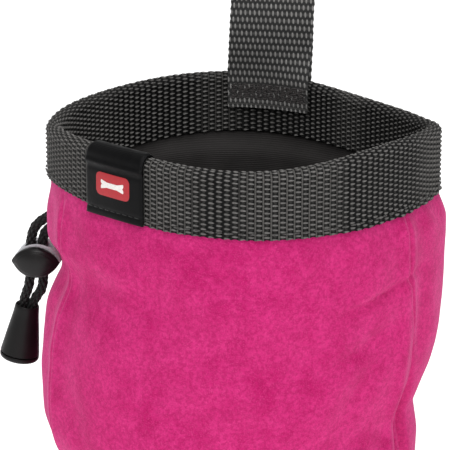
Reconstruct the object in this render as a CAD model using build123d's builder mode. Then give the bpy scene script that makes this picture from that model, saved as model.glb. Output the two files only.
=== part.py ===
"""Drawstring treat pouch: a soft round bag with a webbing rim, a belt loop, and a cord with its lock.

Millimetres. The origin is the centre of the base, +Z is up, the belt loop is at the back (+Y),
and the drawstring comes out of a slit at -X.
"""

import os
from math import asin, cos, degrees, pi, radians, sin, tan

from build123d import *

# Bag wall: height, left edge, right edge and half depth of the outer surface
BASE_RADIUS = 48.8
BASE_HEIGHT = 6.0
RIM_LEFT = -53.9
RIM_RIGHT = 53.9
RIM_HALF_DEPTH = 49.1
CLOTH_TOP = 138.4
SEAM_DEPTH = 25.0
WALL = [
    (BASE_HEIGHT, -BASE_RADIUS, BASE_RADIUS, BASE_RADIUS),
    (30.0, -50.2, 49.0, 48.6),
    (56.0, -54.6, 49.0, 48.6),
    (78.0, -56.3, 53.8, 49.8),
    (90.5, -53.4, 55.0, 49.9),
    (94.5, -51.2, 55.1, 49.8),
    (100.5, -51.2, 55.3, 49.8),
    (105.0, -54.4, 56.0, 49.8),
    (117.0, -54.4, 55.9, 49.6),
    (121.5, RIM_LEFT, RIM_RIGHT, RIM_HALF_DEPTH),
    (CLOTH_TOP, RIM_LEFT, RIM_RIGHT, RIM_HALF_DEPTH),
]

# Cloth, webbing and the clearance between two layers
FABRIC = 1.2
LINING = 0.6
WEBBING = 1.4
STRAP = 1.5
LABEL = 0.9
THREAD = 0.3
CLEARANCE = 0.05
LINING_INSET = 4.9

# Rim binding, which is one webbing folded over the cloth's top edge
RIM_TOP = 140.0
RIM_LOW = 122.5
RIM_SHOULDER = 1.15
RIM_OUTER_FACE = -WEBBING - 2 * CLEARANCE
RIM_INNER_FACE = FABRIC + LINING + 4 * CLEARANCE + WEBBING
STITCH_ROW = 2.0
STITCH_COUNT = 100
STITCH_GAP = 0.9

# Label folded over the rim
LABEL_WIDTH = 20.0
LABEL_TURN = 35.0
LABEL_LOW = 121.9
LABEL_INSIDE_LOW = 133.0

# Belt loop, a strap sewn to both faces of the rim at the back
STRAP_WIDTH = 25.0
STRAP_SEWN_TOP = 138.2
STRAP_INNER_LOW = 130.6
STRAP_OUTER_LOW = 126.0
LOOP_LOW = 142.4
LOOP_BOW = 1.4
LOOP_BOW_LOW = 160.0
LOOP_BOW_HIGH = 194.0
BARTACK_LOW = 133.5
BARTACK_HIGH = 137.3

# Drawstring, its channel and the slit that it comes out of
CORD = 2.8
CHANNEL_HEIGHT = 108.0
CHANNEL_GAP = 10.0
SLIT_HEIGHT = 8.6
SLIT_WIDTH = 3.6

# Routes of the two free ends in the XZ plane, from the slit down to the knot
END_A_ROUTE = [
    (-53.1, 110.4),
    (-57.9, 108.4),
    (-62.0, 103.6),
    (-62.0, 88.6),
    (-64.1, 83.9),
    (-65.58, 76.17),
]
END_B_ROUTE = [
    (-52.4, 106.9),
    (-55.6, 106.0),
    (-58.0, 103.6),
    (-58.5, 98.6),
    (-58.1, 87.6),
    (-60.8, 84.0),
    (-61.85, 81.2),
    (-62.73, 75.98),
]

# Cord lock: lens-shaped shell, sprung plunger with a domed head
LOCK_X = -59.5
LOCK_Z = 96.35
LOCK_WIDTH = 14.0
LOCK_HEIGHT = 8.8
LOCK_EDGE = 0.8
LOCK_FRONT = -2.3
LOCK_BACK = 5.8
LOCK_BACK_WALL = 0.8
HEAD_BACK = -4.0
HEAD_FRONT = -7.4
DOME_RADIUS = 10.1
BACK_DOME_RADIUS = 15.0
SLOT_LENGTH = 8.2
SLOT_WIDTH = 3.1
PRESS_TRAVEL = 1.5
STEM_WIDTH = 10.0
STEM_HEIGHT = 3.2
STEM_END = 2.6
STEM_CLEARANCE = 0.1
SPRING_RADIUS = 1.4
SPRING_WALL = 0.4

# Bell-shaped cord end, measured down its own axis from the mouth
BELL_MOUTH = (-63.15, 0, 81.8)
BELL_TILT = 9.9
BELL_DOWN = Vector(-sin(radians(BELL_TILT)), 0, -cos(radians(BELL_TILT)))
BELL_ACROSS = Vector(0, 1, 0).cross(-BELL_DOWN)
BELL_LENGTH = 16.9
BELL_MOUTH_RADIUS = 3.4
BELL_NECK_RADIUS = 3.7
BELL_FOOT_RADIUS = 5.65
BELL_BORE = 2.95
BELL_HOLLOW = 4.3
CAP_HEIGHT = 2.0
KNOT_DEPTH = 6.4
KNOT_RADIUS = 3.1
KNOT_LENGTH = 4.6

LABEL_PLACE = Location(
    (
        -RIM_RIGHT * sin(radians(LABEL_TURN)),
        -RIM_HALF_DEPTH * cos(radians(LABEL_TURN)),
        (LABEL_LOW + RIM_TOP) / 2,
    ),
    (0, 0, -LABEL_TURN),
)


def between(rows, height):
    """Read a table of rows, each led by its height, with straight lines between them."""
    for low, high in zip(rows, rows[1:]):
        if height <= high[0]:
            share = (height - low[0]) / (high[0] - low[0])
            return [a + share * (b - a) for a, b in zip(low[1:], high[1:])]
    return list(rows[-1][1:])


def wall_sections(insets):
    """Ellipses at an inset below the bag's outer surface; insets holds (height, inset) rows."""
    low = insets[0][0]
    high = insets[-1][0]
    heights = {row[0] for row in insets} | {row[0] for row in WALL if low < row[0] < high}
    sections = []
    for height in sorted(heights):
        left, right, half_depth = between(WALL, height)
        inset = between(insets, height)[0]
        with BuildSketch(Plane.XY.offset(height)) as section:
            with Locations(((left + right) / 2, 0)):
                Ellipse((right - left) / 2 - inset, half_depth - inset)
        sections.append(section.sketch.face())
    return sections


def cloth_tube(insets, thickness):
    """A closed band of cloth whose outer face lies at the given insets."""
    with BuildPart() as tube:
        loft(wall_sections(insets), ruled=True)
        hollow = [(height, inset + thickness) for height, inset in insets]
        loft(wall_sections(hollow), ruled=True, mode=Mode.SUBTRACT)
    return tube.part


def rim_ring(outer, inner, low, top):
    """A ring that stands on the rim between two insets, with shoulders at its top."""
    shoulder_low = top - RIM_SHOULDER
    outside = [(low, outer), (shoulder_low, outer), (top, outer + RIM_SHOULDER)]
    inside = [(low, inner), (shoulder_low, inner), (top, inner - RIM_SHOULDER)]
    with BuildPart() as ring:
        loft(wall_sections(outside), ruled=True)
        loft(wall_sections(inside), ruled=True, mode=Mode.SUBTRACT)
    return ring.part


def finish(piece, name):
    """Label a finished piece and write its file."""
    piece.part.label = name
    export_step(piece.part, f"parts/{name}.step")


def outer_panel(side):
    """The outer fabric in front of the side seams or behind them; the cord's slit is behind."""
    with BuildPart() as panel:
        add(cloth_tube([(BASE_HEIGHT, 0), (CLOTH_TOP, 0)], FABRIC))
        split(bisect_by=Plane.XZ.offset(SEAM_DEPTH), keep=side)
        with Locations((RIM_LEFT, 0, CHANNEL_HEIGHT)):
            Box(10, SLIT_WIDTH, SLIT_HEIGHT, mode=Mode.SUBTRACT)
    return panel


def dish(radius, floor, thickness):
    """A round cloth base whose edge curls up to the wall."""
    curl = BASE_HEIGHT - CLEARANCE
    with BuildPart() as base:
        with BuildSketch(Plane.XZ):
            with BuildLine():
                Line((0, floor), (radius - curl, floor))
                RadiusArc((radius - curl, floor), (radius, floor + curl), -curl)
                Line((radius, floor + curl), (radius - thickness, floor + curl))
                RadiusArc(
                    (radius - thickness, floor + curl),
                    (radius - curl, floor + thickness),
                    curl - thickness,
                )
                Line((radius - curl, floor + thickness), (0, floor + thickness))
                Line((0, floor + thickness), (0, floor))
            make_face()
        revolve(axis=Axis.Z)
    return base


def rim_webbing():
    """The binding over the top edge, hollow where the fabric and the lining stand in it."""
    inner_face = FABRIC + LINING + 3 * CLEARANCE + WEBBING
    with BuildPart() as webbing:
        add(rim_ring(-WEBBING - CLEARANCE, inner_face, RIM_LOW, RIM_TOP))
        add(
            cloth_tube([(RIM_LOW, -CLEARANCE), (CLOTH_TOP + CLEARANCE, -CLEARANCE)],
                       FABRIC + LINING + 4 * CLEARANCE),
            mode=Mode.SUBTRACT,
        )
    return webbing


def rim_stitching():
    """The row of stitches near the binding's lower edge, one solid for each stitch."""
    height = RIM_LOW + STITCH_ROW
    face = RIM_OUTER_FACE - THREAD
    with BuildPart() as stitches:
        add(cloth_tube([(height, face), (height + THREAD, face)], THREAD))
        with Locations((0, 0, height)):
            with PolarLocations(RIM_HALF_DEPTH, STITCH_COUNT):
                Box(14, STITCH_GAP, 2, mode=Mode.SUBTRACT)
        with Locations(LABEL_PLACE):
            Box(LABEL_WIDTH + 1, 16, 24, mode=Mode.SUBTRACT)
    return stitches


def label_patch():
    """The label, folded over the rim from the outside to the inside."""
    with BuildPart() as label:
        add(rim_ring(RIM_OUTER_FACE - LABEL, RIM_INNER_FACE + LABEL, LABEL_LOW, RIM_TOP + LABEL))
        add(
            rim_ring(RIM_OUTER_FACE, RIM_INNER_FACE, LABEL_LOW, RIM_TOP + CLEARANCE),
            mode=Mode.SUBTRACT,
        )
        below = [(LABEL_LOW, RIM_INNER_FACE - 1), (LABEL_INSIDE_LOW, RIM_INNER_FACE - 1)]
        loft(wall_sections(below), ruled=True, mode=Mode.SUBTRACT)
        with Locations(LABEL_PLACE):
            Box(LABEL_WIDTH, 20, 24, mode=Mode.INTERSECT)
    return label


def strap_end(inset, low):
    """A sewn end of the belt loop's strap, which follows the curve of the rim."""
    with BuildPart() as end:
        add(cloth_tube([(low, inset), (STRAP_SEWN_TOP, inset)], STRAP))
        with Locations((0, RIM_HALF_DEPTH, (low + STRAP_SEWN_TOP) / 2)):
            Box(STRAP_WIDTH, 20, 40, mode=Mode.INTERSECT)
    return end


def strap_stitching():
    """Rows of thread through both sewn ends of the strap."""
    inner = RIM_INNER_FACE + STRAP + CLEARANCE
    outer = RIM_OUTER_FACE - STRAP - CLEARANCE - THREAD
    middle = (BARTACK_LOW + BARTACK_HIGH) / 2
    with BuildPart() as stitches:
        for inset in (inner, outer):
            add(cloth_tube([(BARTACK_LOW, inset), (BARTACK_HIGH, inset)], THREAD))
        with Locations((0, RIM_HALF_DEPTH, middle)):
            Box(STRAP_WIDTH - 2.4, 20, 10, mode=Mode.INTERSECT)
        with Locations((0, RIM_HALF_DEPTH, middle)):
            with GridLocations(1.6, 0, 13, 1):
                Box(0.7, 20, 10, mode=Mode.SUBTRACT)
    return stitches


def belt_loop():
    """The strap's free part: up from the inside of the rim, over, and down to the outside."""
    inner = RIM_HALF_DEPTH - RIM_INNER_FACE - STRAP / 2
    outer = RIM_HALF_DEPTH - RIM_OUTER_FACE + STRAP / 2
    top_radius = (outer - inner) / 2 + LOOP_BOW
    crown = ((inner + outer) / 2, LOOP_BOW_HIGH + top_radius)
    with BuildPart() as loop:
        with BuildSketch(Plane.YZ):
            with BuildLine():
                Polyline((inner, LOOP_LOW), (inner - LOOP_BOW, LOOP_BOW_LOW), (inner - LOOP_BOW, LOOP_BOW_HIGH))
                ThreePointArc((inner - LOOP_BOW, LOOP_BOW_HIGH), crown, (outer + LOOP_BOW, LOOP_BOW_HIGH))
                Polyline((outer + LOOP_BOW, LOOP_BOW_HIGH), (outer + LOOP_BOW, LOOP_BOW_LOW), (outer, LOOP_LOW))
            trace(line_width=STRAP)
        extrude(amount=STRAP_WIDTH / 2, both=True)
    return loop


def slit_bartacks():
    """Two short bars of thread that stop the cord's slit from tearing, above and below it."""
    with BuildPart() as bars:
        for height in (CHANNEL_HEIGHT - SLIT_HEIGHT / 2 - 1.6, CHANNEL_HEIGHT + SLIT_HEIGHT / 2 + 0.6):
            face = -CLEARANCE - THREAD
            add(cloth_tube([(height, face), (height + 1, face)], THREAD))
        with Locations((RIM_LEFT, 0, CHANNEL_HEIGHT)):
            Box(20, 4, 20, mode=Mode.INTERSECT)
    return bars


def drawstring_loop():
    """The cord in its channel, right round the bag from one side of the slit to the other."""
    left, right, half_depth = between(WALL, CHANNEL_HEIGHT)
    inset = (FABRIC + LINING_INSET) / 2
    half_width = (right - left) / 2 - inset
    half_depth = half_depth - inset
    centre = ((left + right) / 2, 0, CHANNEL_HEIGHT)
    start = degrees(asin(CHANNEL_GAP / 2 / half_depth)) - 180
    with BuildPart() as ring:
        with BuildLine() as path:
            EllipticalCenterArc(centre, half_width, half_depth, start, arc_size=-2 * start)
        with BuildSketch(Plane(path.line @ 0, z_dir=path.line % 0)):
            Circle(CORD / 2)
        sweep()
    return ring


def free_end(route, name):
    """A free cord end: straight runs joined by the largest arcs that the runs allow."""
    points = [Vector(x, 0, z) for x, z in route]
    runs = [b - a for a, b in zip(points, points[1:])]
    radii = []
    for before, after in zip(runs, runs[1:]):
        half_turn = radians(before.get_angle(after)) / 2
        radii.append(0.45 * min(before.length, after.length) / tan(half_turn))
    with BuildPart() as cord:
        with BuildLine() as path:
            FilletPolyline(*points, radius=radii)
        with BuildSketch(Plane(path.line @ 0, z_dir=path.line % 0)):
            Circle(CORD / 2)
        sweep()
    length = sum(edge.length for edge in path.edges())
    section = pi * (CORD / 2) ** 2
    print(name, "radii", [round(radius, 1) for radius in radii], "length", round(length, 2))
    print(name, "volume", round(cord.part.volume, 2), "section x length", round(section * length, 2))
    return cord


def lens(plane):
    """The cord lock's outline: two arcs that meet at its left and right edges."""
    half_width = LOCK_WIDTH / 2
    half_height = LOCK_HEIGHT / 2
    with BuildSketch(plane) as outline:
        with BuildLine():
            ThreePointArc((-half_width, 0), (0, half_height), (half_width, 0))
            ThreePointArc((half_width, 0), (0, -half_height), (-half_width, 0))
        make_face()
        fillet(outline.vertices(), LOCK_EDGE)
    return outline.sketch


def lock_plane(y):
    """The XZ plane through the cord lock at a depth y, with its normal towards the front."""
    return Plane((LOCK_X, y, LOCK_Z), x_dir=(1, 0, 0), z_dir=(0, -1, 0))


def lock_box(width, height, front, back):
    """A box in the cord lock, centred on it, between two depths."""
    with BuildPart() as box:
        with Locations((LOCK_X, (front + back) / 2, LOCK_Z)):
            Box(width, back - front, height)
    return box.part


def cord_lock_body():
    """The shell: an oblong slot for both cords, crossed by the plunger's cavity."""
    cavity_back = LOCK_BACK - LOCK_BACK_WALL
    with BuildPart() as body:
        extrude(lens(lock_plane(LOCK_BACK)), amount=LOCK_BACK - LOCK_FRONT)
        with Locations((LOCK_X, LOCK_BACK - BACK_DOME_RADIUS, LOCK_Z)):
            Sphere(BACK_DOME_RADIUS, mode=Mode.INTERSECT)
        cavity_width = STEM_WIDTH + 2 * STEM_CLEARANCE
        cavity_height = STEM_HEIGHT + 2 * STEM_CLEARANCE
        add(lock_box(cavity_width, cavity_height, LOCK_FRONT, cavity_back), mode=Mode.SUBTRACT)
        add(lock_box(SLOT_LENGTH, 2 * LOCK_HEIGHT, -SLOT_WIDTH / 2, SLOT_WIDTH / 2), mode=Mode.SUBTRACT)
    return body


def cord_lock_button():
    """The plunger: a domed head and a stem whose slot lets both cords through over its travel."""
    with BuildPart() as button:
        extrude(lens(lock_plane(HEAD_BACK)), amount=HEAD_BACK - HEAD_FRONT)
        with Locations((LOCK_X, HEAD_FRONT + DOME_RADIUS, LOCK_Z)):
            Sphere(DOME_RADIUS, mode=Mode.INTERSECT)
        add(lock_box(STEM_WIDTH, STEM_HEIGHT, HEAD_BACK, STEM_END))
        slot_front = -SLOT_WIDTH / 2 - PRESS_TRAVEL
        add(lock_box(SLOT_LENGTH, 2 * LOCK_HEIGHT, slot_front, SLOT_WIDTH / 2), mode=Mode.SUBTRACT)
    return button


def cord_lock_spring():
    """The sleeve that the plunger's coil spring fills, between the stem and the shell's back wall."""
    length = LOCK_BACK - LOCK_BACK_WALL - STEM_END - 2 * CLEARANCE
    with BuildPart() as spring:
        with BuildSketch(lock_plane(STEM_END + CLEARANCE + length)):
            Circle(SPRING_RADIUS)
            Circle(SPRING_RADIUS - SPRING_WALL, mode=Mode.SUBTRACT)
        extrude(amount=length)
    return spring


def turned(points):
    """Turn a profile of (radius, depth) points about the bell's own axis."""
    with BuildPart() as solid:
        with BuildSketch(Plane(BELL_MOUTH, x_dir=(0, 1, 0), z_dir=BELL_ACROSS)):
            with BuildLine():
                Polyline(*[(radius, -depth) for radius, depth in points], close=True)
            make_face()
        revolve(axis=Axis(BELL_MOUTH, BELL_DOWN))
    return solid


def cord_end_bell():
    """The cord end's shell, open at both ends, which narrows to a bore for the two cords."""
    cap_top = BELL_LENGTH - CAP_HEIGHT
    return turned([
        (BELL_BORE, 0.0),
        (BELL_MOUTH_RADIUS, 0.0),
        (BELL_NECK_RADIUS, 3.0),
        (4.4, 8.0),
        (BELL_FOOT_RADIUS, cap_top),
        (BELL_HOLLOW, cap_top),
        (3.6, 8.0),
        (3.3, 5.4),
        (BELL_BORE, 4.6),
    ])


def cord_end_cap():
    """The snap-in foot of the cord end, with a plug that stands inside the shell."""
    cap_top = BELL_LENGTH - CAP_HEIGHT
    plug = BELL_HOLLOW - 2 * CLEARANCE
    return turned([
        (0.0, cap_top - 1.2),
        (plug - 0.2, cap_top - 1.2),
        (plug, cap_top + 0.2),
        (BELL_FOOT_RADIUS, cap_top + 0.2),
        (BELL_FOOT_RADIUS, BELL_LENGTH - 0.5),
        (BELL_FOOT_RADIUS - 0.5, BELL_LENGTH),
        (0.0, BELL_LENGTH),
    ])


def cord_knot():
    """The knot that holds both cord ends inside the bell."""
    shoulder = KNOT_RADIUS / 3
    return turned([
        (0.0, KNOT_DEPTH),
        (KNOT_RADIUS - shoulder, KNOT_DEPTH),
        (KNOT_RADIUS, KNOT_DEPTH + shoulder),
        (KNOT_RADIUS, KNOT_DEPTH + KNOT_LENGTH - shoulder),
        (KNOT_RADIUS - shoulder, KNOT_DEPTH + KNOT_LENGTH),
        (0.0, KNOT_DEPTH + KNOT_LENGTH),
    ])


def lining_wall():
    """The lining, which stands off the fabric below the rim and so makes the cord's channel."""
    rim_inset = FABRIC + CLEARANCE
    with BuildPart() as lining:
        add(cloth_tube(
            [(BASE_HEIGHT + 3, LINING_INSET), (118.0, LINING_INSET), (122.0, rim_inset), (CLOTH_TOP, rim_inset)],
            LINING,
        ))
    return lining


def main():
    os.makedirs("parts", exist_ok=True)
    finish(outer_panel(Keep.TOP), "outer_front_panel")
    finish(outer_panel(Keep.BOTTOM), "outer_back_panel")
    finish(dish(BASE_RADIUS, 0, FABRIC), "outer_base")
    finish(lining_wall(), "lining_wall")
    finish(dish(BASE_RADIUS - LINING_INSET, FABRIC + 1.8, LINING), "lining_base")
    finish(rim_webbing(), "rim_webbing")
    finish(rim_stitching(), "rim_stitching")
    finish(label_patch(), "label")
    finish(strap_end(RIM_INNER_FACE, STRAP_INNER_LOW), "strap_inner_end")
    finish(strap_end(RIM_OUTER_FACE - STRAP, STRAP_OUTER_LOW), "strap_outer_end")
    finish(strap_stitching(), "strap_stitching")
    finish(belt_loop(), "belt_loop_strap")
    finish(slit_bartacks(), "slit_bartacks")
    finish(drawstring_loop(), "drawstring_loop")
    finish(free_end(END_A_ROUTE, "drawstring_end_a"), "drawstring_end_a")
    finish(free_end(END_B_ROUTE, "drawstring_end_b"), "drawstring_end_b")
    finish(cord_lock_body(), "cord_lock_body")
    finish(cord_lock_button(), "cord_lock_button")
    finish(cord_lock_spring(), "cord_lock_spring")
    finish(cord_end_bell(), "cord_end_bell")
    finish(cord_end_cap(), "cord_end_cap")
    finish(cord_knot(), "cord_knot")


main()
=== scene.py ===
"""Treat pouch: suede bag with a webbing rim, label, belt loop, drawstring, cord lock and cord end.

Lengths are in millimetres until a mesh is made. Angles run from +X towards +Y, seen from above.
"""

from functools import partialmethod
from math import atan2, cos, degrees, hypot, pi, radians, sin, sqrt

import bmesh
import bpy
import numpy as np
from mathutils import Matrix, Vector


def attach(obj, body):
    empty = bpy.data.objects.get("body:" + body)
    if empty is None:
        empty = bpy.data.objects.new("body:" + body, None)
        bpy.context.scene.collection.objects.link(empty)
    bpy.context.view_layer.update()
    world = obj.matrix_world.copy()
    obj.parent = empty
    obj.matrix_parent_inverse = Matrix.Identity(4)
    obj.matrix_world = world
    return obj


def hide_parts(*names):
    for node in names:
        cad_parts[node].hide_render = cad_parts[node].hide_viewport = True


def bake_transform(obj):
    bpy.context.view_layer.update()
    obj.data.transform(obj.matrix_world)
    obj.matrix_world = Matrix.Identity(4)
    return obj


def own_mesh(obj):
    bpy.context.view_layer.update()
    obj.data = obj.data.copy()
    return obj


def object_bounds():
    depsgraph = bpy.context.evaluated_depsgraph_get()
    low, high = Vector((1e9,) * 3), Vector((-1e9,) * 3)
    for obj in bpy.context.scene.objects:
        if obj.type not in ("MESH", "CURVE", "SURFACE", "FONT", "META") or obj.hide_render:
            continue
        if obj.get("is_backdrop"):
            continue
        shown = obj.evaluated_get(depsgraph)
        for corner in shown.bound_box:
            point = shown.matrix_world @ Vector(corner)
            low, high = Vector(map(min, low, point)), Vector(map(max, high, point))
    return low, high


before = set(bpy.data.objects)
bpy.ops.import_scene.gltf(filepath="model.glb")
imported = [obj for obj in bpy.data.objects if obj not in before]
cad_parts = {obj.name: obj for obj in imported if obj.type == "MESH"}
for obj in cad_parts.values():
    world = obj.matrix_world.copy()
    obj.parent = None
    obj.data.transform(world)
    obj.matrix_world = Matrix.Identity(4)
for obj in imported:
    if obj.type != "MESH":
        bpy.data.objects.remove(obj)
CAD_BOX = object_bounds()
MM = 0.001

# The bag's long axis, from which the rim's and the wall's own angles are measured
TURN = 9.3
SEAMS = (206.8, 342.8)

# Height, left reach, right reach and half depth of the wall, and how much it keeps the rim's outline
WALL = np.array([
    (0, 48.8, 48.8, 48.8, 0.0),
    (8, 48.8, 48.8, 48.8, 0.0),
    (25, 50.6, 49.2, 48.6, 0.08),
    (38, 51.9, 49.2, 48.6, 0.14),
    (44, 53.4, 49.6, 48.6, 0.18),
    (49, 56.0, 49.6, 48.6, 0.20),
    (54, 57.5, 49.0, 48.6, 0.22),
    (59, 57.8, 48.6, 48.7, 0.25),
    (63, 57.8, 50.2, 48.9, 0.28),
    (69, 57.9, 52.6, 49.3, 0.32),
    (77, 57.5, 54.7, 49.7, 0.38),
    (83, 56.4, 55.7, 49.8, 0.44),
    (88, 55.6, 56.2, 49.8, 0.50),
    (92, 53.9, 56.4, 49.8, 0.55),
    (96, 51.9, 56.5, 49.8, 0.60),
    (100, 51.7, 56.5, 49.8, 0.65),
    (103, 52.9, 56.6, 49.8, 0.70),
    (106, 55.2, 57.0, 49.8, 0.74),
    (109, 55.6, 57.3, 49.8, 0.78),
    (114, 55.4, 57.2, 49.7, 0.86),
    (118.5, 54.9, 55.4, 49.4, 0.95),
    (122, 54.4, 54.2, 49.1, 1.0),
    (150, 54.4, 54.2, 49.1, 1.0),
])

# Soft folds: angle, height, half width in degrees, half height, depth, and slant in degrees per mm
FOLDS = [
    (346.5, 84, 5.0, 26, -2.0, 0.00),
    (347.0, 50, 4.5, 13, -3.6, -0.05),
    (336.5, 70, 3.0, 44, 1.1, 0.00),
    (327.0, 100, 8.0, 3.2, -1.5, 5.0),
    (320.0, 87, 7.0, 5.0, -1.3, 2.0),
    (318.0, 74, 6.0, 14, -0.9, 0.60),
    (323.0, 108, 7.0, 9, 0.6, 0.20),
    (208.5, 82, 3.2, 40, 0.9, 0.00),
    (198.5, 84, 4.0, 34, -1.1, 0.00),
    (219.0, 66, 6.0, 22, -0.8, -0.30),
    (233.0, 88, 9.0, 24, 0.5, 0.20),
    (250.0, 60, 12.0, 26, -0.5, 0.10),
    (286.0, 84, 12.0, 30, 0.5, 0.00),
    (304.0, 62, 8.0, 22, 0.6, 0.30),
    (20.0, 78, 7.0, 40, -1.6, 0.10),
    (48.0, 92, 8.0, 44, 1.3, 0.00),
    (76.0, 70, 9.0, 40, -1.4, 0.10),
    (112.0, 86, 9.0, 40, 1.2, -0.08),
    (138.0, 66, 8.0, 36, -1.5, 0.10),
    (160.0, 88, 6.0, 40, 1.0, 0.00),
]

# Cloth and webbing
FABRIC = 1.2
LINING = 0.6
LINING_INSET = 4.9
LINING_FLOOR = 3.0
BASE_RADIUS = 48.8
BASE_HEIGHT = 6.0
CLOTH_TOP = 138.2
RIM_TOP = 140.0
RIM_FACE = 1.5
RIM_INSET = 3.4
FOLD_RADIUS = (RIM_FACE + RIM_INSET) / 2
FOLD_ARC = pi * FOLD_RADIUS
FOLD_CENTRE = RIM_TOP - FOLD_RADIUS
RIM_WIDTH = 37.6
WEBBING = 1.4
WARPS = 56
PICKS = 150
STEPS_PER_PICK = 4
# Weave relief: how deep a warp end dips, the groove between ends, its sway, and the selvedge's scallops
RIM_DIP, RIM_GROOVE, RIM_SWAY, RIM_SCALLOP = 0.34, -0.26, 0.17, 0.28
STRAP_DIP, STRAP_GROOVE, STRAP_SWAY, STRAP_SCALLOP = 0.30, -0.22, 0.12, 0.12

# The slit for the cord at the left, its two bars of thread, and the cord's channel
SLIT_ANGLE = 180.0
SLIT_RADIUS = 54.6
SLIT_HALF = degrees(1.8 / SLIT_RADIUS)
SLIT_LOW, SLIT_HIGH = 103.7, 112.3
BAR_HEIGHTS = (102.6, 113.4)
CHANNEL_HEIGHT = 108.0

# Belt loop strap: thickness, width, lean to the right per mm of height, and weave
STRAP = 1.5
STRAP_WIDTH = 24.3
STRAP_X = -0.1
STRAP_LEAN = 0.064
STRAP_PICK = 2.1
STRAP_WARP = 0.68
STRAP_INNER_Y, STRAP_OUTER_Y = 44.95, 51.35
STRAP_INNER_GAP, STRAP_OUTER_GAP = 0.05, 0.10
SEWN_TOP = 142.4
LOOP_TOP = 194.0
LOOP_BOW = 1.4

# Stitches: the rim's count, height and half length in degrees; the strap's rows; the slit's bars
RIM_STITCHES, RIM_STITCH_HEIGHT, RIM_STITCH_HALF = 108, 1.9, 1.02
SEWN_ROWS, SEWN_LOW, SEWN_STEP, SEWN_HALF = 8, 133.4, 0.58, 11.5
BAR_STITCHES, BAR_STEP, BAR_HALF = 9, 0.475, 0.62

# Label
LABEL_ANGLE = 235.0
LABEL_WIDTH = 20.0
LABEL_HALF = degrees(LABEL_WIDTH / 2 / 50.2)
LABEL_GAP = 0.12
LABEL = 0.8
LABEL_SEAM = 1.5
MARK = (0.2, 8.6)

# Routes of the two free cord ends, from the slit down to the knot
CORD = 2.8
BRAID_PITCH = 2.5
BRAID_TURNS = 6
END_A_ROUTE = [(-53.1, 110.4), (-57.9, 108.4), (-62.0, 103.6), (-62.0, 88.6), (-64.1, 83.9), (-65.58, 76.17)]
END_B_ROUTE = [(-52.4, 106.9), (-55.6, 106.0), (-58.0, 103.6), (-58.5, 98.6), (-58.1, 87.6), (-60.8, 84.0),
               (-61.85, 81.2), (-62.73, 75.98)]

# Cord lock: its outline's half sizes, how far in from its edge each ring of a face lies, and the slot
LOCK = (-59.5, 0.0, 96.35)
LOCK_HALF_WIDTH = 7.0
LOCK_HALF_HEIGHT = 4.4
LOCK_CORNER = 0.8
FACE_INSETS = (1.6, 2.2, 2.8, 3.4, 3.9, 4.25, 4.3999)
SLOT_LENGTH, SLOT_WIDTH = 8.2, 3.1

# Cord end: a bell that opens downwards, closed by a foot
BELL_MOUTH = (-63.15, 0.0, 81.8)
BELL_TILT = radians(9.9)
BELL_DOWN = (-sin(BELL_TILT), 0, -cos(BELL_TILT))
BELL_LENGTH = 16.9
BELL_FOOT_RADIUS = 5.65
FOOT_TOP = BELL_LENGTH - 2.0


# Materials


def srgb(red, green, blue):
    """A colour given as 0 to 255 on screen, as the shader wants it."""
    parts = [c / 255 for c in (red, green, blue)]
    return tuple(c / 12.92 if c < 0.04045 else ((c + 0.055) / 1.055) ** 2.4 for c in parts) + (1,)


def material(name, **sockets):
    """A material whose Principled sockets are set once, all over."""
    made = bpy.data.materials.new(name)
    made.use_nodes = True
    shader = made.node_tree.nodes["Principled BSDF"]
    for key, value in sockets.items():
        shader.inputs[key.replace("_", " ")].default_value = value
    return made


def node(made, kind, inputs, **settings):
    """Adds a node; an input may be a number, a colour or a signal."""
    new = made.node_tree.nodes.new("ShaderNode" + kind)
    for key, value in settings.items():
        setattr(new, key, value)
    for key, value in inputs.items():
        if isinstance(value, Signal):
            made.node_tree.links.new(value.socket, new.inputs[key])
        else:
            new.inputs[key].default_value = value
    return new


class Signal:
    """A node's output in a material; sums and calls on it add the nodes that work them out."""

    def __init__(self, made, socket):
        self.made, self.socket = made, socket

    def through(self, kind, inputs, output, **settings):
        return Signal(self.made, node(self.made, kind, inputs, **settings).outputs[output])

    def calc(self, operation, *others):
        return self.through("Math", dict(enumerate((self, *others))), 0, operation=operation)

    __add__ = partialmethod(calc, "ADD")
    __sub__ = partialmethod(calc, "SUBTRACT")
    __mul__ = partialmethod(calc, "MULTIPLY")
    __truediv__ = partialmethod(calc, "DIVIDE")
    __pow__ = partialmethod(calc, "POWER")
    __abs__ = partialmethod(calc, "ABSOLUTE")

    def __rsub__(self, other):
        return self * -1.0 + other

    def step(self, low, high, to_low=0.0, to_high=1.0):
        """A smooth step from low to high."""
        inputs = {"Value": self, "From Min": low, "From Max": high, "To Min": to_low, "To Max": to_high}
        return self.through("MapRange", inputs, "Result", interpolation_type="SMOOTHSTEP")

    def mix(self, low, high):
        """Two colours mixed, with this signal as the second one's share."""
        return self.through("Mix", {0: self, 6: low, 7: high}, 2, data_type="RGBA")

    def joined(self, y, z=0.0):
        """A vector with this signal as its X."""
        return self.through("CombineXYZ", {"X": self, "Y": y, "Z": z}, 0)

    def noise(self, scale, detail=2.0, rough=0.5):
        inputs = {"Vector": self, "Scale": scale, "Detail": detail, "Roughness": rough}
        return self.through("TexNoise", inputs, "Fac")

    def bands(self, scale, distortion):
        """Level bands up the object, such as the wefts of a fine cloth."""
        inputs = {"Vector": self, "Scale": scale, "Distortion": distortion, "Detail": 1.0}
        return self.through("TexWave", inputs, "Fac", wave_type="BANDS", bands_direction="Z")


def place_of(made):
    """Position in the object's own frame, in millimetres."""
    where = Signal(made, node(made, "TexCoord", {}).outputs["Object"])
    return where.through("VectorMath", {0: where, 1: (1000, 1000, 1000)}, 0, operation="MULTIPLY")


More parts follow.
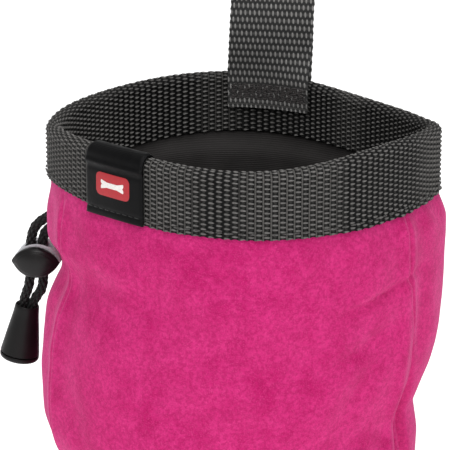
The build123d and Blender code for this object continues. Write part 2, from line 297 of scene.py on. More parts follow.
def weave_map(made):
    """The two coordinates of the weave map."""
    uv = Signal(made, node(made, "UVMap", {}, uv_map="weave").outputs["UV"])
    split = node(made, "SeparateXYZ", {"Vector": uv})
    return Signal(made, split.outputs["X"]), Signal(made, split.outputs["Y"])


def surfaced(made, colour, rough=None, height=None, distance=0.1):
    """Drives a material's surface with signals; distance is the relief's depth in millimetres."""
    drives = {"Base Color": colour, "Roughness": rough}
    if height is not None:
        inputs = {"Height": height, "Distance": distance * MM, "Strength": 1.0}
        drives["Normal"] = height.through("Bump", inputs, 0)
    shader = made.node_tree.nodes["Principled BSDF"]
    for key, value in drives.items():
        if value is not None:
            made.node_tree.links.new(value.socket, shader.inputs[key])
    return made


def suede():
    made = material("suede", Roughness=0.95, Sheen_Weight=0.45, Sheen_Roughness=0.45,
                    Sheen_Tint=srgb(236, 150, 196), Specular_IOR_Level=0.08)
    where = place_of(made)
    nap = where.noise(0.95, 3.0, 0.65)
    fibre = where.noise(3.4, 2.0, 0.6)
    # Painted highlight: the suede turns a lighter pink along the panels' seam edges and bottom edge, by a point
    # attribute set in panel()
    wear_and_highlight = Signal(made, node(made, "Attribute", {}, attribute_name="painted_edge_highlight").outputs["Fac"])
    tone = where.noise(0.17, 3.0, 0.6).step(0.3, 0.7).mix(srgb(184, 24, 99), srgb(208, 47, 122))
    tone = where.noise(0.045).step(0.35, 0.65, 0.0, 0.45).mix(tone, srgb(210, 52, 124))
    tone = nap.step(0.36, 0.64, 0.52, 0.0).mix(tone, srgb(156, 14, 80))
    tone = fibre.step(0.50, 0.72, 0.0, 0.36).mix(tone, srgb(232, 88, 150))
    tone = (wear_and_highlight * 0.10).mix(tone, srgb(222, 76, 140))
    return surfaced(made, tone, height=nap * 1.4 + fibre, distance=0.10)


def lining_cloth():
    made = material("lining_cloth", Roughness=0.72, Sheen_Weight=0.15, Specular_IOR_Level=0.3)
    where = place_of(made)
    weft = where.bands(0.55, 0.4)
    tone = where.noise(0.12, 3.0).mix(srgb(33, 30, 29), srgb(52, 49, 48))
    tone = (weft * 0.35).mix(tone, srgb(24, 22, 22))
    return surfaced(made, tone, height=weft + where.noise(0.6), distance=0.06)


def webbing(name, deep, low, high):
    """Plain weave in the weave map's own units: picks along it and warp ends across it.

    The three levels are the greys of the gaps, and of the warp ends at their darkest and lightest.
    """
    made = material(name, Roughness=0.72, Sheen_Weight=0.02, Specular_IOR_Level=0.12)
    where = place_of(made)
    along, across = weave_map(made)
    end = across.calc("FLOOR")
    side = across - end - 0.5
    # Each warp end floats over every second pick, from -1 to 1 about the float's middle
    beat = (((along + end) * 0.5 + 0.5).calc("FRACT") - 0.5) * 2.0
    lean = side + beat * 0.42
    float_share = (abs(beat / 0.40) ** 2.0 + abs(lean / 0.52) ** 2.0).step(1.25, 0.3)
    dot = ((1.0 - abs(beat)) / 0.24) ** 2.0 + abs(side / 0.34) ** 2.0
    strand = (along * 0.9).joined(across * 7.0).noise(1.0, 2.0, 0.6)
    # In some stretches the picks open and show as lines between the ends
    opened = (along * 0.055).joined(0.0, 3.7).noise(1.0, 1.0).step(0.52, 0.62)
    pick_line = abs(along.calc("FRACT") - 0.5).step(0.16, 0.03) * (opened * 0.6)
    light = strand.mix(srgb(low + 2, low, low - 2), srgb(high + 2, high, high - 2))
    light = where.noise(0.35).step(0.3, 0.7, 0.0, 0.3).mix(light, srgb(low - 10, low - 11, low - 13))
    tone = (dot.step(1.3, 0.3) * 0.5).mix(srgb(deep, deep, deep), srgb(deep + 56, deep + 55, deep + 53))
    tone = pick_line.mix(tone, srgb(112, 110, 107))
    tone = float_share.mix(tone, light)
    return surfaced(made, tone, height=float_share + strand * 0.5, distance=0.16)


def yarn(name, dark, light, scale=4.0):
    """Spun thread with fine fibres."""
    made = material(name, Roughness=0.7, Sheen_Weight=0.2, Specular_IOR_Level=0.3)
    fibre = place_of(made).noise(scale, 3.0, 0.6)
    return surfaced(made, fibre.step(0.35, 0.7).mix(dark, light), height=fibre, distance=0.08)


def braid():
    """Round braid in the weave map's units: turns round the cord and crossings along it."""
    made = material("braid", Roughness=0.55, Sheen_Weight=0.05, Specular_IOR_Level=0.25)
    turn, along = weave_map(made)
    bead = abs(((turn + along) * pi).calc("SINE") * ((turn - along) * pi).calc("SINE"))
    fibre = place_of(made).noise(5.0, 2.0, 0.6)
    # Painted sheen and shade: the braid's knobs are lighter and the hollows between its strands darker, in step
    # with its relief
    tone = bead.step(0.05, 0.8).mix(srgb(3, 3, 3), srgb(26, 26, 26))
    tone = fibre.step(0.5, 0.75, 0.0, 0.5).mix(tone, srgb(50, 49, 48))
    return surfaced(made, tone, height=bead + fibre * 0.3, distance=0.2)


def moulded(name, colour, wear_and_highlight, rough, coat=0.0):
    """Moulded plastic with a fine grain and slight handling marks."""
    made = material(name, Coat_Weight=coat, Coat_Roughness=0.25, Specular_IOR_Level=0.22)
    where = place_of(made)
    marks = where.noise(0.5, 4.0, 0.7)
    tone = marks.step(0.55, 0.8, 0.0, 0.6).mix(colour, wear_and_highlight)
    roughness = marks.step(0.3, 0.7, rough - 0.06, rough + 0.08)
    return surfaced(made, tone, roughness, where.noise(6.0), 0.02)


def satin_label():
    made = material("label_satin", Specular_IOR_Level=0.10)
    where = place_of(made)
    patches = where.noise(0.5, 3.0, 0.6)
    tone = patches.mix(srgb(4, 4, 5), srgb(13, 13, 14))
    roughness = patches.step(0.3, 0.7, 0.34, 0.5)
    return surfaced(made, tone, roughness, where.bands(1.1, 0.6) * 0.4 + patches, 0.06)


def printed(name, colour, faded):
    made = material(name, Roughness=0.5, Specular_IOR_Level=0.4)
    where = place_of(made)
    tone = where.noise(1.6, 3.0, 0.7).step(0.4, 0.75, 0.0, 0.6).mix(colour, faded)
    return surfaced(made, tone, height=where.noise(5.0), distance=0.03)


def steel():
    made = material("spring_wire", Metallic=1.0)
    where = place_of(made)
    tone = where.noise(2.0).mix(srgb(150, 150, 152), srgb(196, 196, 198))
    return surfaced(made, tone, where.noise(3.0).step(0.3, 0.7, 0.22, 0.4))


SUEDE = suede()
LINING_CLOTH = lining_cloth()
WEB = webbing("rim_webbing", 14, 82, 142)
STRAP_WEB = webbing("strap_webbing", 56, 124, 186)
THREAD = yarn("thread", srgb(44, 42, 41), srgb(84, 82, 80))
BAR_THREAD = yarn("bar_thread", srgb(38, 35, 35), srgb(78, 73, 72), 2.4)
LABEL_THREAD = yarn("label_thread", srgb(14, 14, 14), srgb(34, 34, 34))
BRAID = braid()
LOCK_BLACK = moulded("lock_black", srgb(20, 19, 19), srgb(38, 37, 36), 0.34, 0.08)
LOCK_GREY = moulded("lock_grey", srgb(198, 200, 204), srgb(220, 222, 224), 0.34)
BELL_BLACK = moulded("bell_black", srgb(16, 15, 15), srgb(32, 31, 30), 0.44, 0.02)
LABEL_SATIN = satin_label()
PRINT_RED = printed("print_red", srgb(176, 32, 42), srgb(150, 40, 46))
PRINT_WHITE = printed("print_white", srgb(236, 232, 228), srgb(206, 200, 196))
SPRING_WIRE = steel()


# Meshes


def shown(name, data):
    """A new object in the scene."""
    made = bpy.data.objects.new(name, data)
    bpy.context.scene.collection.objects.link(made)
    return made


def shade(mesh, sharp):
    """Smooth shading, except at edges sharper than an angle in degrees."""
    mesh.polygons.foreach_set("use_smooth", [True] * len(mesh.polygons))
    mesh.set_sharp_from_angle(angle=radians(sharp))


def from_faces(name, points, faces, surface, uvs=None, sharp=50):
    """A piece from points in millimetres; uvs holds one pair for each corner of each face."""
    mesh = bpy.data.meshes.new(name)
    mesh.from_pydata((np.asarray(points, float).reshape(-1, 3) * MM).tolist(), [], faces)
    if uvs is not None:
        mesh.uv_layers.new(name="weave").data.foreach_set("uv", np.asarray(uvs, np.float32).ravel())
    mesh.materials.append(surface)
    shade(mesh, sharp)
    return shown(name, mesh)


def lattice(rows, cols, wrap_rows=False, start=0, flip=False):
    """Quads over rings of points, with the grid place of each corner before wrapping."""
    faces, places = [], []
    for i in range(rows if wrap_rows else rows - 1):
        for j in range(cols):
            ring = [(i, j), (i, j + 1), (i + 1, j + 1), (i + 1, j)]
            if flip:
                ring.reverse()
            faces.append([start + (a % rows) * cols + b % cols for a, b in ring])
            places += ring
    return faces, places


def tube_of(name, grid, surface, wrap_rows=False, uv=None, caps=True, sharp=50):
    """A closed solid from rings of points: each row is a ring; the ends are capped unless rows wrap."""
    rows, cols = grid.shape[:2]
    faces, places = lattice(rows, cols, wrap_rows)
    uvs = None if uv is None else [uv(a, b) for a, b in places]
    if caps and not wrap_rows:
        faces += [list(range(cols))[::-1], list(range((rows - 1) * cols, rows * cols))]
        if uvs is not None:
            uvs += [uv(0, b) for b in range(cols)][::-1] + [uv(rows - 1, b) for b in range(cols)]
    return from_faces(name, grid, faces, surface, uvs, sharp)


def cloth(name, outer, inner, surface, wrap=False, hole=None, uv=None, sharp=50):
    """A closed sheet between two grids; hole marks the grid's cells that are cut out."""
    rows, cols = outer.shape[:2]
    spans = cols if wrap else cols - 1
    there = np.ones((rows - 1, spans), bool) if hole is None else ~hole
    there = np.pad(np.pad(there, ((0, 0), (1, 1)), "wrap" if wrap else "constant"), ((1, 1), (0, 0)))
    back = rows * cols
    faces, places = [], []

    def add(ring, sides):
        faces.append([side * back + a * cols + b % cols for (a, b), side in zip(ring, sides)])
        places.extend(ring)

    for i, j in np.argwhere(there[1:-1, 1:-1]).tolist():
        ring = [(i, j), (i, j + 1), (i + 1, j + 1), (i + 1, j)]
        add(ring, (0, 0, 0, 0))
        add(ring[::-1], (1, 1, 1, 1))
        # Each side with no neighbour is closed by a wall between the two grids
        for (down, along), (a, b) in (((-1, 0), (0, 1)), ((0, 1), (1, 2)), ((1, 0), (2, 3)), ((0, -1), (3, 0))):
            if not there[i + 1 + down, j + 1 + along]:
                add([ring[b], ring[a], ring[a], ring[b]], (0, 0, 1, 1))
    points = np.concatenate([outer.reshape(-1, 3), inner.reshape(-1, 3)])
    uvs = None if uv is None else [uv(a, b) for a, b in places]
    return from_faces(name, points, faces, surface, uvs, sharp)


def turned(name, profile, surface, origin, down, sides=64):
    """Turns a closed profile of (radius, depth) about an axis that runs down from origin."""
    down, side = np.array(down), np.array((0, 1, 0))
    turn = np.arange(sides)[:, None] * 2 * pi / sides
    ring = side * np.cos(turn) + np.cross(down, side) * np.sin(turn)
    grid = np.array([origin + down * depth + ring * radius for radius, depth in profile])
    return tidy(tube_of(name, grid, surface, wrap_rows=True, sharp=35))


def tidy(piece, merge=0.0004):
    """Merges the points that meet on an axis and turns every face outwards."""
    work = bmesh.new()
    work.from_mesh(piece.data)
    bmesh.ops.remove_doubles(work, verts=work.verts, dist=merge * MM)
    bmesh.ops.dissolve_degenerate(work, edges=work.edges, dist=merge * MM)
    bmesh.ops.recalc_face_normals(work, faces=work.faces)
    work.to_mesh(piece.data)
    work.free()
    return piece


def smooth_step(value):
    value = np.clip(value, 0, 1)
    return value * value * (3 - 2 * value)


# The bag's surface

LEVELS = np.arange(0, 150.01, 0.5)
SMOOTH = np.exp(-np.linspace(-2, 2, 13) ** 2)
SMOOTH /= SMOOTH.sum()


def eased(column):
    values = np.interp(LEVELS, WALL[:, 0], WALL[:, column])
    padded = np.concatenate([values[:1].repeat(6), values, values[-1:].repeat(6)])
    return np.convolve(padded, SMOOTH, "valid")


LEFT, RIGHT, DEPTH, SHARE = (eased(column) for column in (1, 2, 3, 4))


def away_from(angle, centre):
    """Signed difference of two angles in degrees, from -180 to 180."""
    return (angle - centre + 180) % 360 - 180


def hump(value, width):
    return np.exp(-((value / width) ** 2))


def rim_wave(own, terms, front, back):
    """Waves round the rim, given as (cosine, sine) pairs, and a local hump at each end of the long axis."""
    a = np.radians(own)
    waves = sum(c * np.cos(k * a) + s * np.sin(k * a) for k, (c, s) in enumerate(terms, 1))
    return waves + front * hump(away_from(own, -4), 9) + back * hump(away_from(own, 180), 10)


def rim_radius(own):
    """Radius of the binding's outer face, by the angle from the bag's long axis."""
    return 51.54 + rim_wave(own, ((-1.47, 0.45), (1.24, -1.11), (0.47, 0), (1.29, 0.24)), 1.67, 0.58)


def rim_lift(own):
    """How far the rim's edge stands above or below its nominal height."""
    return rim_wave(own, ((-0.53, -0.65), (-0.25, -0.48), (0, -1.03), (-0.15, -0.20)), 0.54, -0.67)


def right_seam(height):
    """The right-hand seam's angle: it wanders towards the back as it goes down."""
    return SEAMS[1] + np.interp(height, (52, 63, 72, 90, 105, 125), (8.0, 6.5, 4.0, -1.5, -4.0, -4.5))


def round_radius(own, left, right, depth):
    a = np.radians(own)
    middle = (left + right) / 2
    return (middle + depth) / 2 + (right - left) / 2 * np.cos(a) + (middle - depth) / 2 * np.cos(2 * a)


def plain_wall(angle, height):
    """Radius of the cloth's outer surface without its folds and seams."""
    own = angle - TURN
    left, right, depth, share = (np.interp(height, LEVELS, table) for table in (LEFT, RIGHT, DEPTH, SHARE))
    rim = rim_radius(own) - RIM_FACE
    round_rim = round_radius(own, LEFT[-1], RIGHT[-1], DEPTH[-1])
    return round_radius(own, left, right, depth) + share * (rim - round_rim)


def wall(angle, height):
    """Radius of the cloth's outer surface."""
    radius = plain_wall(angle, height)
    below = smooth_step((124 - height) / 10) * smooth_step((height - 7) / 12)
    folds = np.zeros_like(radius)
    for where, level, width, tall, depth, slant in FOLDS:
        off = away_from(angle, where + slant * (height - level))
        folds = folds + depth * hump(off, width) * hump(height - level, tall)
    a = np.radians(angle)
    folds = folds + 0.22 * np.sin(9 * a + height * 0.11) * np.sin(height * 0.17 + 2 * np.sin(3 * a))
    folds = folds + 0.16 * np.sin(17 * a - height * 0.07 + 1.3) * np.sin(height * 0.31 + 1.0 + np.sin(5 * a))
    gathers = 0.35 * np.sin(23 * a + 2 * np.sin(4 * a)) * hump(height - 119, 7)
    radius = radius + below * (folds + gathers)
    for seam in (SEAMS[0], right_seam(height)):
        off = away_from(angle, seam) * radius * pi / 180
        radius = radius - below * (0.7 * hump(off, 0.8) - 0.22 * hump(abs(off) - 1.8, 1.1))
    return radius


def outward(angle):
    """Level unit vectors at an angle."""
    a = np.radians(angle)
    return np.stack([np.cos(a), np.sin(a), np.zeros_like(a)], -1)


def at_radius(angle, radius, height):
    """Points at an angle, radius and nominal height; the rim's wave is added."""
    points = outward(angle) * np.asarray(radius)[..., None]
    points[..., 2] = height + rim_lift(angle - TURN) * smooth_step((height - 85) / 45)
    return points


def together(*values):
    """Numbers and arrays brought to one shape."""
    return np.broadcast_arrays(*(np.asarray(value, float) for value in values))


def place(angle, height, offset=0.0):
    """Points at an angle and nominal height, an offset out from the cloth."""
    angle, height, offset = together(angle, height, offset)
    return at_radius(angle, wall(angle, height) + offset, height)


BAND_ANGLES = (0, 30, 90, 150, 180, 205, 225, 243, 257, 272, 288, 300, 311, 325, 345, 360)
BAND_HEIGHTS = (18.4, 18.6, 17.2, 15.8, 15.2, 16.2, 17.9, 19.0, 18.3, 18.6, 19.2, 20.2, 20.8, 20.8, 20.0, 18.4)
OWN = np.arange(-360, 721)
EASE = hump(np.arange(-15, 16), 6)
REACH = np.convolve(np.interp(OWN % 360, BAND_ANGLES, BAND_HEIGHTS), EASE / EASE.sum(), "same")


def band_leg(angle):
    """The binding's straight run outside, from its lower edge up to the fold."""
    return np.interp((angle - TURN) % 360, OWN, REACH) - FOLD_RADIUS


def fold_turn(angle, run):
    """How far the binding has turned over the rim, from 0 outside to pi inside."""
    return np.clip((run - band_leg(angle)) / FOLD_RADIUS, 0, pi)


def leg_side(angle, run):
    """1 on the binding's outer leg, -1 on its inner leg and 0 over the fold."""
    leg = band_leg(angle)
    return np.where(run < leg, 1, np.where(run > leg + FOLD_ARC, -1, 0))


def band(angle, run, proud=0.0):
    """Points on the binding: run goes from the outer lower edge, over the fold, to the inner lower edge."""
    angle, run, proud = together(angle, run, proud)
    leg, turn = band_leg(angle), fold_turn(angle, run)
    out = np.cos(turn) * (FOLD_RADIUS + proud) + (RIM_FACE - FOLD_RADIUS)
    height = FOLD_CENTRE + np.sin(turn) * (FOLD_RADIUS + proud)
    height = height - np.clip(leg - run, 0, None) - np.clip(run - leg - FOLD_ARC, 0, None)
    return place(angle, height, out)


# Cloth


def panel(name, start, end, heights, spacing):
    """An outer panel from one seam to the other, with the cord's slit if it lies between them."""
    per_degree = 0.9
    near = np.array([0, 0.35, 0.7, 1.05, 1.4, 1.8, 2.3, 3.0]) / per_degree
    inside = np.linspace(start + near[-1], end - near[-1], int((end - start) * per_degree / spacing))[1:-1]
    angles = np.concatenate([start + near, inside, (end - near)[::-1]])
    has_slit = start < SLIT_ANGLE < end
    if has_slit:
        # Grid lines run along the slit's edges, and none lies so near that it makes slivers
        angles = angles[abs(angles - SLIT_ANGLE) > SLIT_HALF + 0.4]
        angles = np.sort(np.append(angles, [SLIT_ANGLE - SLIT_HALF, SLIT_ANGLE, SLIT_ANGLE + SLIT_HALF]))
        heights = heights[np.minimum(abs(heights - SLIT_LOW), abs(heights - SLIT_HIGH)) > 0.3]
        heights = np.sort(np.append(heights, [SLIT_LOW, SLIT_HIGH]))
    grid_angle, grid_height = np.meshgrid(angles, heights)
    edge = np.minimum(grid_angle - start, end - grid_angle) * per_degree
    drift = right_seam(grid_height) - SEAMS[1]
    grid_angle = grid_angle + drift * hump(away_from(grid_angle, SEAMS[1]), 30)
    hole = None
    if has_slit:
        middle_angle = (angles[1:] + angles[:-1]) / 2
        middle_height = (heights[1:] + heights[:-1]) / 2
        between = (middle_height > SLIT_LOW) & (middle_height < SLIT_HIGH)
        hole = (abs(middle_angle - SLIT_ANGLE) < SLIT_HALF)[None, :] & between[:, None]
    outer, inner = (place(grid_angle, grid_height, offset) for offset in (0.0, -FABRIC))
    piece = cloth(name, outer, inner, SUEDE, hole=hole)
    # Painted highlight: lighter near the panel's seam edges below the rim, and along its bottom edge, where
    # these edges catch the light
    wear_and_highlight = hump(edge - 0.9, 0.9) * (grid_height < 121) + 0.5 * hump(grid_height - BASE_HEIGHT - 1, 1.0)
    painted_edge_highlight = piece.data.attributes.new("painted_edge_highlight", "FLOAT", "POINT")
    painted_edge_highlight.data.foreach_set("value", np.tile(wear_and_highlight.ravel(), 2).astype(np.float32))
    return piece


PANEL_HEIGHTS = np.concatenate([[6.0, 6.5, 7.2, 8.0], np.linspace(9, CLOTH_TOP, 140)])
front_panel = panel("front_panel_suede", SEAMS[0], SEAMS[1], PANEL_HEIGHTS, 0.85)
back_panel = panel("back_panel_suede", SEAMS[1] - 360, SEAMS[0], PANEL_HEIGHTS, 1.0)


def dish(name, radius, floor, thickness, surface, sag=0.0):
    """A round base whose edge curls up to the wall."""
    curl = BASE_HEIGHT - 0.05
    thin = curl - thickness
    flat_radius = radius - curl
    turns = np.linspace(0, pi / 2, 9)
    flat = [(r, floor + sag * (1 - (r / flat_radius) ** 2)) for r in np.linspace(0, flat_radius, 12)[:-1]]
    rows = flat + [(flat_radius + curl * sin(t), floor + curl - curl * cos(t)) for t in turns]
    rows += [(flat_radius + thin * sin(t), floor + curl - thin * cos(t)) for t in turns[::-1]]
    rows += [(r, h + thickness) for r, h in flat[::-1]]
    return turned(name, [(r, -h) for r, h in rows], surface, (0, 0, 0), (0, 0, -1), sides=128)


base_cloth = dish("base_suede", BASE_RADIUS, 0.0, FABRIC, SUEDE, sag=0.5)
# The base's painted highlight attribute is left at zero.
base_cloth.data.attributes.new("painted_edge_highlight", "FLOAT", "POINT")
lining_floor = dish("lining_floor_cloth", BASE_RADIUS - LINING_INSET, LINING_FLOOR, LINING, LINING_CLOTH)


def lining_wall():
    """The lining: off the cloth below the rim, where the cord's channel is."""
    heights = np.concatenate([np.linspace(9, 117, 55), np.linspace(118, CLOTH_TOP, 16)])
    angle, height = np.meshgrid(np.arange(0, 360, 1.5), heights)
    against = FABRIC + 0.05
    inset = np.interp(height, (0, 116.5, 121.5, 150), (LINING_INSET, LINING_INSET, against, against))
    crease = 0.3 * (1 + np.sin(31 * np.radians(angle) + 2 * np.sin(height * 0.05)))
    creased = smooth_step((117 - height) / 8) * smooth_step((height - 12) / 20)
    plain = plain_wall(angle, height) - inset - crease * creased
    radius = np.minimum(plain, wall(angle, height) - np.where(height > 119, against, 1.9))
    outer, inner = (at_radius(angle, radius - depth, height) for depth in (0.0, LINING))
    return cloth("lining_wall_cloth", outer, inner, LINING_CLOTH, wrap=True)


lining = lining_wall()


# Webbing


def weave_height(pick, end):
    """How high a warp end stands, from 0 where it floats to -1 where it dips under a pick."""
    return 0.5 * np.cos(pi * (pick + end)) - 0.5


def weave_lean(pick, end):
    """How far a warp end sways to the side, from -1 to 1."""
    return np.sin(pi * (pick + end))


def rim_band():
    """The binding: the woven face outside, over the fold and inside, and a plain hidden back."""
    pick = np.arange(PICKS * STEPS_PER_PICK) / STEPS_PER_PICK
    angle = pick / PICKS * 360
    out = outward(angle)
    rows, across = [], []
    for k in range(2 * WARPS + 1):
        level = run = k / 2 / WARPS * RIM_WIDTH
        deep = np.full(len(pick), RIM_GROOVE)
        if k % 2:
            deep = RIM_DIP * weave_height(pick, k // 2)
            run = run + RIM_SWAY * weave_lean(pick, k // 2)
        over = hump(run - band_leg(angle) - FOLD_ARC / 2, 5.0)
        if k in (0, 2 * WARPS):
            run = run + (RIM_SCALLOP if k == 0 else -RIM_SCALLOP) * np.abs(np.cos(pi * pick))
        face = band(angle, run, deep * (1 + 0.35 * over))
        rows.append(face + out * (deep * leg_side(angle, level))[:, None])
        across.append(k / 2)
    for share in (1.0, 0.8, 0.62, 0.5, 0.38, 0.2, 0.0):
        level = share * RIM_WIDTH
        rows.append(band(angle, level, -WEBBING) - out * (WEBBING * leg_side(angle, level))[:, None])
        across.append(WARPS * share)
    faces, places = lattice(len(rows), len(pick), wrap_rows=True)
    uvs = [(col / STEPS_PER_PICK, across[row % len(across)]) for row, col in places]
    return from_faces("rim_band_webbing", np.stack(rows), faces, WEB, uvs, sharp=80)


rim = rim_band()


def strap_path():
    """The strap's middle line in the YZ plane, from the inner sewn end over the top to the outer one."""
    middle = (STRAP_OUTER_Y + STRAP_INNER_Y) / 2
    top = (STRAP_OUTER_Y - STRAP_INNER_Y) / 2 + LOOP_BOW
    up = np.linspace(SEWN_TOP + 1, LOOP_TOP, 40)
    bow = LOOP_BOW * smooth_step((up - SEWN_TOP) / 17.6)
    turn = np.linspace(0, pi, 24)[1:-1]
    parts = (
        (np.full(12, STRAP_INNER_Y), np.linspace(130.6, SEWN_TOP, 12)),
        (STRAP_INNER_Y - bow, up),
        (middle - top * np.cos(turn), LOOP_TOP + top * np.sin(turn)),
        ((STRAP_OUTER_Y + bow)[::-1], up[::-1]),
        (np.full(16, STRAP_OUTER_Y), np.linspace(SEWN_TOP, 126.0, 16)),
    )
    return np.concatenate([np.stack(part, -1) for part in parts])


def length_of(points):
    return np.linalg.norm(np.diff(points, axis=0), axis=1).sum()


def evenly(points, count):
    """The same line, read at even steps."""
    runs = np.append(0, np.linalg.norm(np.diff(points, axis=0), axis=1).cumsum())
    at = np.linspace(0, runs[-1], count)
    return np.stack([np.interp(at, runs, line) for line in points.T], -1)


def band_line(offset, x, height):
    """The y of the rim's inner or outer face at each x near the back."""
    points = place(np.linspace(60, 120, 121), height, offset)
    order = np.argsort(points[:, 0])
    return np.interp(x, points[order, 0], points[order, 1])


def strap():
    """The belt loop's strap, woven on both faces, with both ends following the rim's curve."""
    path = strap_path()
    picks = round(length_of(path) / STRAP_PICK)
    ends = round(STRAP_WIDTH / STRAP_WARP)
    pick = np.arange(picks * STEPS_PER_PICK + 1) / STEPS_PER_PICK
    y, z = evenly(path, len(pick)).T
    for _ in range(3):
        for line in (y, z):
            line[1:-1] = (line[:-2] + 2 * line[1:-1] + line[2:]) / 4
    tangent_y, tangent_z = np.gradient(y), np.gradient(z)
    size = np.hypot(tangent_y, tangent_z)
    normal_y, normal_z = -tangent_z / size, tangent_y / size
    half = STRAP_WIDTH / 2
    first = pick < picks / 2
    sewn = smooth_step((150 - z) / 12)
    lean = STRAP_LEAN * np.clip(z - 141, 0, None) * smooth_step((0.62 - pick / picks) / 0.24)
    faces = []
    for sign in (-1, 1):
        rows = []
        for k in range(2 * ends + 1):
            across = np.full(len(pick), k / 2 / ends * STRAP_WIDTH - half)
            if k in (0, 2 * ends):
                deep = -0.45
                across += (STRAP_SCALLOP if k == 0 else -STRAP_SCALLOP) * np.cos(2 * pi * pick)
            elif k % 2:
                deep = STRAP_DIP * weave_height(pick + (sign < 0), k // 2)
                across += STRAP_SWAY * weave_lean(pick, k // 2) * sign
            else:
                deep = STRAP_GROOVE
            x = STRAP_X + across + lean
            inner = band_line(-RIM_INSET, x, 134) - STRAP_INNER_GAP - STRAP / 2 - STRAP_INNER_Y
            outer = band_line(RIM_FACE, x, 132) + STRAP_OUTER_GAP + STRAP / 2 - STRAP_OUTER_Y
            curl = -0.35 * (across / half) ** 2 * (1 - sewn) ** 2
            press = -0.25 * hump(z - 135.4, 2.2) * (np.abs(across) < half - 1)
            thick = sign * (STRAP / 2 + deep + press)
            middle_y = y + sewn * np.where(first, inner, outer) + curl
            rows.append(np.stack([x, middle_y + normal_y * thick, z + normal_z * thick], -1))
        faces.append(np.stack(rows))

    def uv(row, col):
        return col / STEPS_PER_PICK, row / 2

    return cloth("belt_loop_webbing", *faces, STRAP_WEB, uv=uv, sharp=80)


belt_strap = strap()


# Stitches


def pill():
    """A unit stitch: long along X, round in YZ, and pointed at both ends."""
    along, turn = np.meshgrid(np.linspace(-1, 1, 7), np.arange(8) * pi / 4, indexing="ij")
    width = (1 - abs(along) ** 3) ** 0.5
    return np.stack([along, width * np.cos(turn), width * np.sin(turn)], -1)


PILL = pill()


def stitches(name, rows, width, height, surface):
    """Stitches from (start, end, outward) rows, as one mesh of separate closed threads."""
    points, faces = [], []
    rings, sides = PILL.shape[:2]
    for row in rows:
        start, end, out = (np.asarray(v, float) for v in row)
        half = (end - start) / 2
        along = half / np.linalg.norm(half)
        out = out - along * (out @ along)
        out /= np.linalg.norm(out)
        basis = np.stack([half, np.cross(out, along) * width / 2, out * height / 2])
        faces += lattice(rings, sides, start=len(points) * rings * sides, flip=True)[0]
        points.append(PILL.reshape(-1, 3) @ basis + (start + end) / 2)
    return tidy(from_faces(name, np.concatenate(points), faces, surface, sharp=60), 0.001)


def rim_rows():
    """Stitches round the binding's lower edge, except under the label."""
    rows = []
    for angle in np.arange(RIM_STITCHES) / RIM_STITCHES * 360 + 1.2:
        if abs(angle - LABEL_ANGLE) > 12.6:
            ends = (angle - RIM_STITCH_HALF, angle + RIM_STITCH_HALF)
            rows.append([band(a, RIM_STITCH_HEIGHT) - 0.10 * outward(a) for a in ends] + [outward(angle)])
    return rows


def strap_rows():
    """Close rows of thread through both sewn ends of the strap."""
    rows = []
    for offset, sign in ((-RIM_INSET - STRAP - 0.06, -1), (RIM_FACE + STRAP + 0.14, 1)):
        for row in range(SEWN_ROWS):
            height = SEWN_LOW + row * SEWN_STEP
            x = 0.1 - SEWN_HALF + 0.9 * (row * 0.37 % 1)
            k = 0
            while x < SEWN_HALF - 0.5:
                far = min(x + 1.7 + 0.5 * sin(row * 2.3 + k * 1.7), SEWN_HALF)
                tilt = 0.26 * sin(row * 1.9 + k * 2.6)
                ends = [(STRAP_X + a, band_line(offset, STRAP_X + a, height) - 0.22 * sign, height + up)
                        for a, up in ((x, -tilt), (far, tilt))]
                rows.append(ends + [(0, sign, 0)])
                x = far + 0.12
                k += 1
    return rows


def bar_rows():
    """Two short bars of thread, above and below the cord's slit."""
    rows = []
    for height in BAR_HEIGHTS:
        for k in range(BAR_STITCHES):
            angle = SLIT_ANGLE + degrees((k - (BAR_STITCHES - 1) / 2) * BAR_STEP / SLIT_RADIUS)
            lean = 0.5 if k % 2 else -0.5
            ends = [place(angle + lean * side, height + BAR_HALF * side, 0.12) for side in (-1, 1)]
            rows.append(ends + [outward(angle)])
    return rows


rim_thread = stitches("rim_stitches", rim_rows(), 0.5, 0.42, THREAD)
strap_thread = stitches("strap_stitches", strap_rows(), 0.58, 0.42, BAR_THREAD)
slit_bars = stitches("slit_bartack_threads", bar_rows(), 0.5, 0.4, THREAD)


# Label

LABEL_LEG = float(band_leg(LABEL_ANGLE))


def label_points(angle, run, proud):
    """Points off the binding's face, along its own normal; run is measured so that it meets the fold."""
    run = run + band_leg(angle) - LABEL_LEG
    turn = fold_turn(angle, run)
    normal = outward(angle) * np.cos(turn)[..., None]
    normal[..., 2] = np.sin(turn)
    return band(angle, run) + normal * np.asarray(proud)[..., None]


def puff(side, run):
    """How far the label's middle stands off the binding."""
    return 0.22 * (1 - side ** 2) * hump(run - LABEL_LEG / 2, 6.0)


